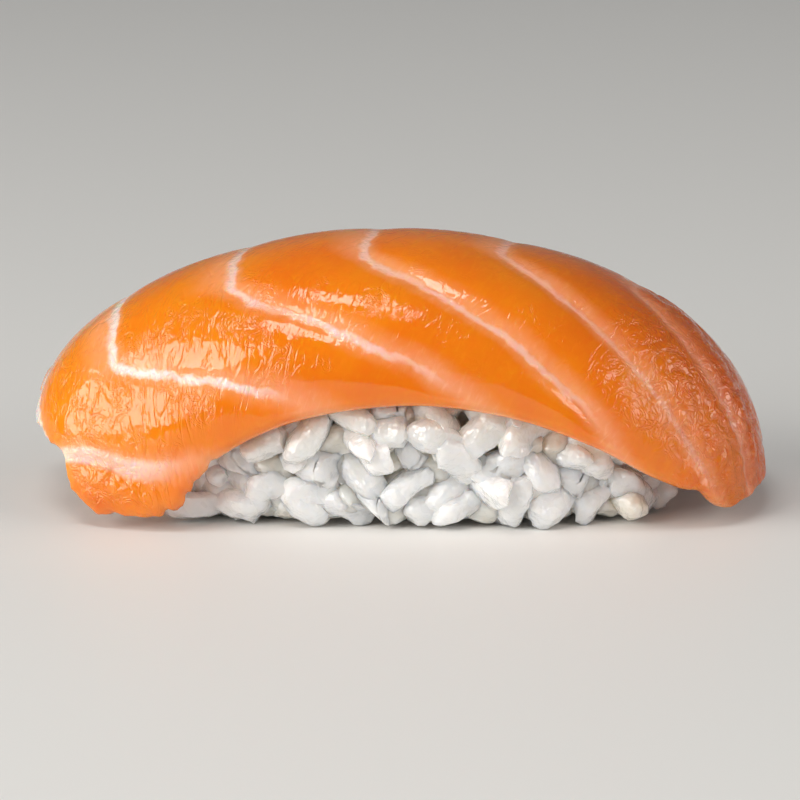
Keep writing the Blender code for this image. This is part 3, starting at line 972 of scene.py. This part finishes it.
# What the material needs to know of each point.
step_phase = np.hypot(
    (fat_phase(s + SMALL_STEP, v) - phase) / (SMALL_STEP * crest_length / 2),
    (fat_phase(s, v + SMALL_STEP) - phase) / (SMALL_STEP * FLAT_HALF_WIDTH))
skin_side = 0.25 * smooth_step(-s, 0.955, 0.99) * smooth_step(-np.abs(v + 0.1), -0.4, -0.2)
for name, values in (
        ("fat_phase", phase),
        ("blocks_per_mm", step_phase),
        ("ahead_of_knee", FAT_FIRST_KNEE[1] + FAT_SPACING[1] * phase - v),
        ("rim_mm", rim_mm),
        ("front_rim_mm", (1 + q) * FLAT_HALF_WIDTH),
        ("torn", torn),
        ("crumpled", crumpled),
        ("skin_side", skin_side)):
    layer = salmon.data.attributes.new(name, "FLOAT", "POINT")
    layer.data.foreach_set("value", values.astype(np.float32))
flat_uv = salmon.data.uv_layers[0]
corner_vertex = np.empty(len(salmon.data.loops), dtype=int)
salmon.data.loops.foreach_get("vertex_index", corner_vertex)
flat_uv.data.foreach_set("uv", (flat_mm[corner_vertex, :2] / 100).astype(np.float32).ravel())
salmon.data.update()
work_on(salmon)
bpy.ops.object.shade_smooth()

# The flesh and its fat.
# Orange muscle that light sinks into, cut across by sheets of white fat. Behind its knee a
# sheet is broad and feathers away to the left, and ahead of it thins to a crisp line.
def named_group(name, inputs, outputs):
    """An empty shader group with named sockets, and its input and output nodes."""
    group = bpy.data.node_groups.new(name, "ShaderNodeTree")
    for socket_name, kind, value in inputs:
        socket = group.interface.new_socket(socket_name, in_out="INPUT", socket_type=kind)
        socket.default_value = value
    for socket_name, kind in outputs:
        group.interface.new_socket(socket_name, in_out="OUTPUT", socket_type=kind)
    return group, group.nodes.new("NodeGroupInput"), group.nodes.new("NodeGroupOutput")


def add_group(tree, group, settings):
    """Place a group in a material, with its inputs linked or set."""
    node = tree.nodes.new("ShaderNodeGroup")
    node.node_tree = group
    for slot_name, setting in settings.items():
        if isinstance(setting, (int, float)):
            node.inputs[slot_name].default_value = setting
        else:
            tree.links.new(setting, node.inputs[slot_name])
    return node


def mix_numbers(group, share, first, second):
    """A number between two numbers."""
    node = group.nodes.new("ShaderNodeMix")
    node.data_type = "FLOAT"
    for socket, value in ((node.inputs[0], share), (node.inputs[2], first), (node.inputs[3], second)):
        if isinstance(value, (int, float)):
            socket.default_value = value
        else:
            group.links.new(value, socket)
    return node.outputs[0]


def centred_noise(group, place, scale, reach, detail=2.0):
    """Noise about zero that strays this far to either side."""
    return times(group, minus(group, add_noise(group, place, scale, detail=detail), 0.5), 2 * reach)


fat_sheets, group_in, group_out = named_group(
    "fat_sheets",
    [("Phase", "NodeSocketFloat", 0.0), ("Blocks per mm", "NodeSocketFloat", 0.1),
     ("Ahead", "NodeSocketFloat", 0.0), ("Front rim mm", "NodeSocketFloat", 10.0),
     ("Place", "NodeSocketVector", (0, 0, 0))],
    [("Core", "NodeSocketFloat"), ("Feather", "NodeSocketFloat")])
# Edges of a sheet, in mm from its line: ahead of its knee, and behind it.
FEATHER_LEFT_MM = (-1.8, -5.0)
FEATHER_RIGHT_MM = (2.8, 1.1)
CORE_LEFT_MM = (-0.65, -1.0)
CORE_RIGHT_MM = (0.55, 0.5)
FIRST_SHIFT_MM = 1.3
FIRST_FEATHER_LESS_MM = 1.0
FIRST_CORE_MORE_MM = (0.9, 0.3)
BROAD_WAVER = (14.0, 1.0)
FINE_WAVER = (75.0, 0.45, 3.0)
LAST_SHEET = 4
sheet_place = group_in.outputs["Place"]
nearest = add_math(fat_sheets, "ROUND", group_in.outputs["Phase"])
off_blocks = minus(fat_sheets, group_in.outputs["Phase"], nearest)
off_mm = add_math(fat_sheets, "DIVIDE", off_blocks, group_in.outputs["Blocks per mm"])
off_mm = plus(fat_sheets, off_mm, centred_noise(fat_sheets, sheet_place, *BROAD_WAVER))
off_mm = plus(fat_sheets, off_mm, centred_noise(fat_sheets, sheet_place, *FINE_WAVER))
first = add_ramp_between(fat_sheets, nearest, -0.4, -0.6)
off_mm = minus(fat_sheets, off_mm, times(fat_sheets, first, FIRST_SHIFT_MM))
behind = add_ramp_between(fat_sheets, group_in.outputs["Ahead"], 0.10, -0.10)

left_end_mm = mix_numbers(fat_sheets, behind, *FEATHER_LEFT_MM)
right_end_mm = mix_numbers(fat_sheets, behind, *FEATHER_RIGHT_MM)
right_end_mm = minus(fat_sheets, right_end_mm, times(fat_sheets, first, FIRST_FEATHER_LESS_MM))
feather = times(
    fat_sheets,
    add_ramp_between(fat_sheets, off_mm, left_end_mm, 0.2),
    add_ramp_between(fat_sheets, off_mm, right_end_mm, 0.0))

left_edge_mm = mix_numbers(fat_sheets, behind, *CORE_LEFT_MM)
left_edge_mm = minus(fat_sheets, left_edge_mm, times(fat_sheets, first, FIRST_CORE_MORE_MM[0]))
right_edge_mm = mix_numbers(fat_sheets, behind, *CORE_RIGHT_MM)
right_edge_mm = plus(fat_sheets, right_edge_mm, times(fat_sheets, first, FIRST_CORE_MORE_MM[1]))
core = times(
    fat_sheets,
    add_ramp_between(fat_sheets, off_mm, left_edge_mm, mix_numbers(fat_sheets, first, -0.1, -0.9)),
    add_ramp_between(fat_sheets, off_mm, right_edge_mm, 0.1))

to_last = add_math(fat_sheets, "LESS_THAN", nearest, LAST_SHEET + 0.5)
broken = add_ramp_between(fat_sheets, add_noise(fat_sheets, sheet_place, 11.0, detail=3.0), 0.25, 0.6)
strength = add_ramp_between(fat_sheets, nearest, 6.3, -1.0)
strength = times(fat_sheets, strength, mix_numbers(fat_sheets, broken, 0.35, 1.0))
strength = times(fat_sheets, strength, to_last)
core = times(fat_sheets, core, add_ramp_between(fat_sheets, group_in.outputs["Front rim mm"], 1.2, 5.5))
fat_sheets.links.new(times(fat_sheets, core, strength), group_out.inputs["Core"])
feather_strength = times(fat_sheets, to_last, mix_numbers(fat_sheets, broken, 0.7, 1.0))
fat_sheets.links.new(times(fat_sheets, feather, feather_strength), group_out.inputs["Feather"])

# The wet skin of the cut face.
# Moisture over torn fibres: fine cracks that lean across the blocks and curl into whorls,
# soft undulations under them, and a smooth film between.
wet_skin, group_in, group_out = named_group(
    "wet_skin",
    [("Place", "NodeSocketVector", (0, 0, 0)), ("Lean", "NodeSocketFloat", 1.0),
     ("Torn", "NodeSocketFloat", 1.0), ("Crumpled", "NodeSocketFloat", 0.0)],
    [("Height mm", "NodeSocketFloat"), ("Strands", "NodeSocketFloat")])
LONG_CRACK_MM = 0.060
SHORT_CRACK_MM = 0.030
WHORL_MM = 0.045
CRUMPLE_MM = 0.10
CREASE_MM = 0.09
UNDULATION_MM = 0.07
FIBRE_STRETCH = (0.33, 1.0, 1.0)
# Cracks: scale, width and distortion. Their patches: scale, and where a patch starts and is full.
LONG_CRACKS = (44.0, 0.055, 0.6)
LONG_PATCHES = (50.0, 0.34, 0.50)
SHORT_CRACKS = (120.0, 0.10, 0.9)
SHORT_PATCHES = (34.0, 0.44, 0.60)
WHORLS = (70.0, 0.08, 1.6)
WHORL_PATCHES = (20.0, 0.50, 0.62)
CRUMPLES = (52.0, 0.14, 2.0)
CREASE_SCALE = 60.0
UNDULATION_SCALE = 30.0
STRAND_SCALE = 170.0
STRAND_STEP = (0.48, 0.75)
CRUMPLED_CRACKS_LESS = 0.6

turned = wet_skin.nodes.new("ShaderNodeVectorRotate")
turned.rotation_type = "Z_AXIS"
wet_skin.links.new(group_in.outputs["Place"], turned.inputs["Vector"])
wet_skin.links.new(group_in.outputs["Lean"], turned.inputs["Angle"])
drawn_out = wet_skin.nodes.new("ShaderNodeMapping")
drawn_out.inputs["Scale"].default_value = FIBRE_STRETCH
wet_skin.links.new(turned.outputs["Vector"], drawn_out.inputs["Vector"])
fibre_place = drawn_out.outputs["Vector"]
skin_place = group_in.outputs["Place"]


def crack_height(group, place, scale, width, distortion):
    """Plateaus at 1 with narrow cracks down to 0 between them."""
    wave = add_noise(group, place, scale, detail=2.5, roughness=0.5, distortion=distortion)
    return add_ramp_between(group, add_math(group, "ABSOLUTE", minus(group, wave, 0.5)), 0.0, width)


def some_of(group, cracks, place, scale, low, high):
    """Keep the cracks in some patches only, and leave the film whole between them."""
    share = add_ramp_between(group, add_noise(group, place, scale, detail=2.0), low, high)
    return minus(group, 1.0, times(group, share, minus(group, 1.0, cracks)))


long_cracks = some_of(
    wet_skin, crack_height(wet_skin, fibre_place, *LONG_CRACKS), skin_place, *LONG_PATCHES)
short_cracks = some_of(
    wet_skin, crack_height(wet_skin, fibre_place, *SHORT_CRACKS), skin_place, *SHORT_PATCHES)
whorls = some_of(wet_skin, crack_height(wet_skin, skin_place, *WHORLS), skin_place, *WHORL_PATCHES)
cracks_mm = times(wet_skin, long_cracks, LONG_CRACK_MM)
cracks_mm = plus(wet_skin, cracks_mm, times(wet_skin, short_cracks, SHORT_CRACK_MM))
cracks_mm = plus(wet_skin, cracks_mm, times(wet_skin, whorls, WHORL_MM))
fewer_cracks = times(wet_skin, group_in.outputs["Crumpled"], CRUMPLED_CRACKS_LESS)
uncrumpled = minus(wet_skin, 1.0, fewer_cracks)
cracks_mm = times(wet_skin, cracks_mm, uncrumpled)
crumple = crack_height(wet_skin, skin_place, *CRUMPLES)
creases = add_noise(wet_skin, skin_place, CREASE_SCALE, detail=1.5, roughness=0.5)
crumple_mm = plus(wet_skin, times(wet_skin, crumple, CRUMPLE_MM), times(wet_skin, creases, CREASE_MM))
crumple_mm = times(wet_skin, crumple_mm, group_in.outputs["Crumpled"])
torn_mm = times(wet_skin, plus(wet_skin, cracks_mm, crumple_mm), group_in.outputs["Torn"])
undulation = add_noise(wet_skin, skin_place, UNDULATION_SCALE, detail=2.0)
wet_skin.links.new(
    plus(wet_skin, torn_mm, times(wet_skin, undulation, UNDULATION_MM)), group_out.inputs["Height mm"])
strand_noise = add_noise(
    wet_skin, fibre_place, STRAND_SCALE, detail=4.0, roughness=0.6, distortion=0.6)
strands = add_ramp_between(wet_skin, strand_noise, *STRAND_STEP)
wet_skin.links.new(strands, group_out.inputs["Strands"])

# The colours of the fish: orange in the middle, a lighter amber at the left end as painted light,
# and deeper at the right end, where the fat is duller too, as painted shade.
MUSCLE_PALE = (0.84, 0.245, 0.001, 1)
MUSCLE_DEEP = (0.80, 0.190, 0.001, 1)
# Painted light at the left end and painted shade at the right end of the flesh, feather and fat.
MUSCLE_PAINTED_LIGHT_LEFT = (0.86, 0.31, 0.001, 1)
MUSCLE_PAINTED_SHADE_RIGHT = (0.50, 0.078, 0.001, 1)
STRAND = (0.96, 0.36, 0.01, 1)
FEATHER = (0.94, 0.45, 0.25, 1)
FEATHER_PAINTED_SHADE_RIGHT = (0.80, 0.28, 0.14, 1)
FAT = (0.98, 0.68, 0.60, 1)
FAT_PAINTED_LIGHT_LEFT = (0.99, 0.80, 0.75, 1)
FAT_PAINTED_SHADE_RIGHT = (0.92, 0.52, 0.40, 1)
# Painted light for the thin rim.
RIM_PAINTED_LIGHT = (0.94, 0.40, 0.10, 1)
SKIN_SIDE = (0.80, 0.62, 0.58, 1)
PAINTED_LIGHT_LEFT_SHARE = 0.5
PAINTED_SHADE_RIGHT_SHARE = 0.9
STRAND_SHARE = 0.14
FEATHER_SHARES = (0.60, 0.90)
FAT_SHARE = 0.95
RIM_PAINTED_LIGHT_SHARE = 0.15

flesh, tree, shader = principled("raw_salmon_flesh")
uv_node = tree.nodes.new("ShaderNodeUVMap")
uv_node.uv_map = flat_uv.name
flat_place = uv_node.outputs["UV"]
skin = add_group(tree, wet_skin, {
    "Place": flat_place,
    "Lean": -FIBRE_LEAN,
    "Torn": attribute_value(tree, "torn"),
    "Crumpled": attribute_value(tree, "crumpled"),
})
sheets = add_group(tree, fat_sheets, {
    "Phase": attribute_value(tree, "fat_phase"),
    "Blocks per mm": attribute_value(tree, "blocks_per_mm"),
    "Ahead": attribute_value(tree, "ahead_of_knee"),
    "Front rim mm": attribute_value(tree, "front_rim_mm"),
    "Place": flat_place,
})
depth_cloud = add_noise(tree, flat_place, 9.0, detail=3.0)
muscle = add_mix(tree, add_ramp_between(tree, depth_cloud, 0.35, 0.7), MUSCLE_PALE, MUSCLE_DEEP)
# Painted light: the left end of the flesh and its fat are made lighter and more amber, as if lit more.
painted_light_left = add_ramp_between(tree, attribute_value(tree, "fat_phase"), 1.6, -0.6)
above_flap = add_ramp_between(tree, attribute_value(tree, "front_rim_mm"), 2.5, 8.0)
muscle = add_mix(tree, times(tree, times(tree, painted_light_left, above_flap), PAINTED_LIGHT_LEFT_SHARE), muscle, MUSCLE_PAINTED_LIGHT_LEFT)
# Painted shade: the right end of the flesh, its feather and its fat are made deeper, as if lit less.
painted_shade_right = add_ramp_between(tree, attribute_value(tree, "fat_phase"), 2.0, 4.8)
muscle = add_mix(tree, times(tree, painted_shade_right, PAINTED_SHADE_RIGHT_SHARE), muscle, MUSCLE_PAINTED_SHADE_RIGHT)
muscle = add_mix(tree, times(tree, skin.outputs["Strands"], STRAND_SHARE), muscle, STRAND)
feather_share = times(
    tree, sheets.outputs["Feather"], mix_numbers(tree, skin.outputs["Strands"], *FEATHER_SHARES))
colour = add_mix(tree, feather_share, muscle, add_mix(tree, painted_shade_right, FEATHER, FEATHER_PAINTED_SHADE_RIGHT))
# Fat colour with the painted light of the left end and the painted shade of the right end.
fat_colour = add_mix(tree, painted_shade_right, add_mix(tree, painted_light_left, FAT, FAT_PAINTED_LIGHT_LEFT), FAT_PAINTED_SHADE_RIGHT)
colour = add_mix(tree, times(tree, sheets.outputs["Core"], FAT_SHARE), colour, fat_colour)
# Painted light: a lighter colour at the thin rim, as light shining through the thin edge.
rim_painted_light_share = add_ramp_between(tree, attribute_value(tree, "rim_mm"), 1.6, 0.0)
colour = add_mix(tree, times(tree, rim_painted_light_share, RIM_PAINTED_LIGHT_SHARE), colour, RIM_PAINTED_LIGHT)
colour = add_mix(tree, attribute_value(tree, "skin_side"), colour, SKIN_SIDE)
tree.links.new(colour, shader.inputs["Base Color"])

BEAD_MM = 0.20
beads = times(tree, add_noise(tree, flat_place, 150.0, detail=2.0), sheets.outputs["Core"])
skin_height = plus(tree, skin.outputs["Height mm"], times(tree, beads, BEAD_MM))
tree.links.new(add_bump(tree, skin_height, MM), shader.inputs["Normal"])
wetness = add_ramp_between(tree, add_noise(tree, flat_place, 40.0, detail=2.0), 0.35, 0.65)
tree.links.new(add_scaled(tree, wetness, 0.03, 0.05), shader.inputs["Roughness"])
shader.subsurface_method = "RANDOM_WALK"
set_inputs(shader, {
    "IOR": 1.62,
    "Subsurface Weight": 1.0,
    "Subsurface Radius": (1.0, 0.36, 0.12),
    "Subsurface Scale": 2.2 * MM,
})
salmon.data.materials.append(flesh)
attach(salmon, "root")
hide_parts("salmon_slice")

# The pale sweep that the nigiri stands on.
# One plain sheet: flat under and in front of the piece, and curved up a long way behind it.
SWEEP_SIZE = 4.0
SWEEP_RISE = 2.0
SWEEP_BEND = 0.8
SWEEP_PALE = (0.76, 0.76, 0.75, 1)
SWEEP_PALER = (0.79, 0.79, 0.78, 1)

start_piece()
bpy.ops.mesh.primitive_plane_add(size=SWEEP_SIZE, location=(0, 0, 0))
floor = bpy.context.object
floor.name = "pale_sweep"
bpy.ops.object.mode_set(mode="EDIT")
bpy.ops.mesh.select_mode(type="EDGE")
bpy.ops.mesh.select_all(action="DESELECT")
bm = bmesh.from_edit_mesh(floor.data)
for edge in bm.edges:
    edge.select_set(all(vertex.co.y > 0.9 for vertex in edge.verts))
bmesh.update_edit_mesh(floor.data)
bpy.ops.mesh.extrude_region_move(TRANSFORM_OT_translate={"value": (0, 0, SWEEP_RISE)})
bpy.ops.mesh.select_mode(type="VERT")
bpy.ops.object.mode_set(mode="OBJECT")
bend = floor.modifiers.new("sweep", "BEVEL")
bend.width = SWEEP_BEND
bend.segments = 16
bend.limit_method = "ANGLE"
bpy.ops.object.modifier_apply(modifier=bend.name)
bpy.ops.object.shade_smooth()
floor_material, tree, shader = principled("pale_floor")
floor_cloud = add_noise(tree, tree.nodes.new("ShaderNodeTexCoord").outputs["Object"], 3.0)
tree.links.new(add_mix(tree, floor_cloud, SWEEP_PALE, SWEEP_PALER), shader.inputs["Base Color"])
set_inputs(shader, {"Roughness": 0.55})
floor.data.materials.append(floor_material)

# Soft studio light.
# Two soft boxes stand low at the sides, the larger one on the left, and their reflections
# lie on both flanks of the wet slice. A weak one above and a dim room fill the rest.
LIGHT_AIM = Vector((0, 0, 0.012))
SIDE_LIGHT = (1.0, 0.97, 0.92)
TOP_LIGHT = (1.0, 0.98, 0.95)
ROOM_LIGHT = (0.95, 0.97, 1.0, 1)
ROOM_STRENGTH = 0.13


def soft_box(name, turn, rise, distance, width, height, radiance, colour):
    """A flat light aimed at the piece, in degrees from the front and up, and in metres."""
    lamp = bpy.data.lights.new(name, "AREA")
    lamp.shape = "RECTANGLE"
    lamp.size = width
    lamp.size_y = height
    lamp.energy = radiance * math.pi * width * height
    lamp.color = colour
    holder = bpy.data.objects.new(name, lamp)
    turn = math.radians(turn)
    rise = math.radians(rise)
    across = math.cos(rise)
    aim = Vector((math.sin(turn) * across, -math.cos(turn) * across, math.sin(rise)))
    holder.location = LIGHT_AIM + aim * distance
    holder.rotation_euler = (math.pi / 2 - rise, 0, turn)
    bpy.context.scene.collection.objects.link(holder)


soft_box("left_box", -60, 23, 0.65, 0.62, 0.42, 5.2, SIDE_LIGHT)
soft_box("right_box", 70, 20, 0.65, 0.60, 0.32, 3.4, SIDE_LIGHT)
soft_box("top_box", -30, 68, 0.70, 0.34, 0.22, 6.2, TOP_LIGHT)
world = bpy.data.worlds.new("studio")
world.use_nodes = True
world.node_tree.nodes["Background"].inputs["Color"].default_value = ROOM_LIGHT
world.node_tree.nodes["Background"].inputs["Strength"].default_value = ROOM_STRENGTH
bpy.context.scene.world = world

# The camera.
# A long lens half a metre off, a little above the piece and square to its length.
CAMERA_RISE = math.radians(14)
CAMERA_DISTANCE = 0.5
CAMERA_AIM = Vector((-0.00014, -0.00051, 0.00997))
camera = bpy.data.cameras.new("camera")
camera.sensor_width = 36.0
camera.lens = 235.6
camera.clip_start = 0.01
camera_holder = bpy.data.objects.new("camera", camera)
camera_way = Vector((0, -math.cos(CAMERA_RISE), math.sin(CAMERA_RISE)))
camera_holder.location = CAMERA_AIM + CAMERA_DISTANCE * camera_way
camera_holder.rotation_euler = (math.pi / 2 - CAMERA_RISE, 0, 0)
bpy.context.scene.collection.objects.link(camera_holder)
bpy.context.scene.camera = camera_holder
bpy.context.scene.view_settings.view_transform = "Standard"
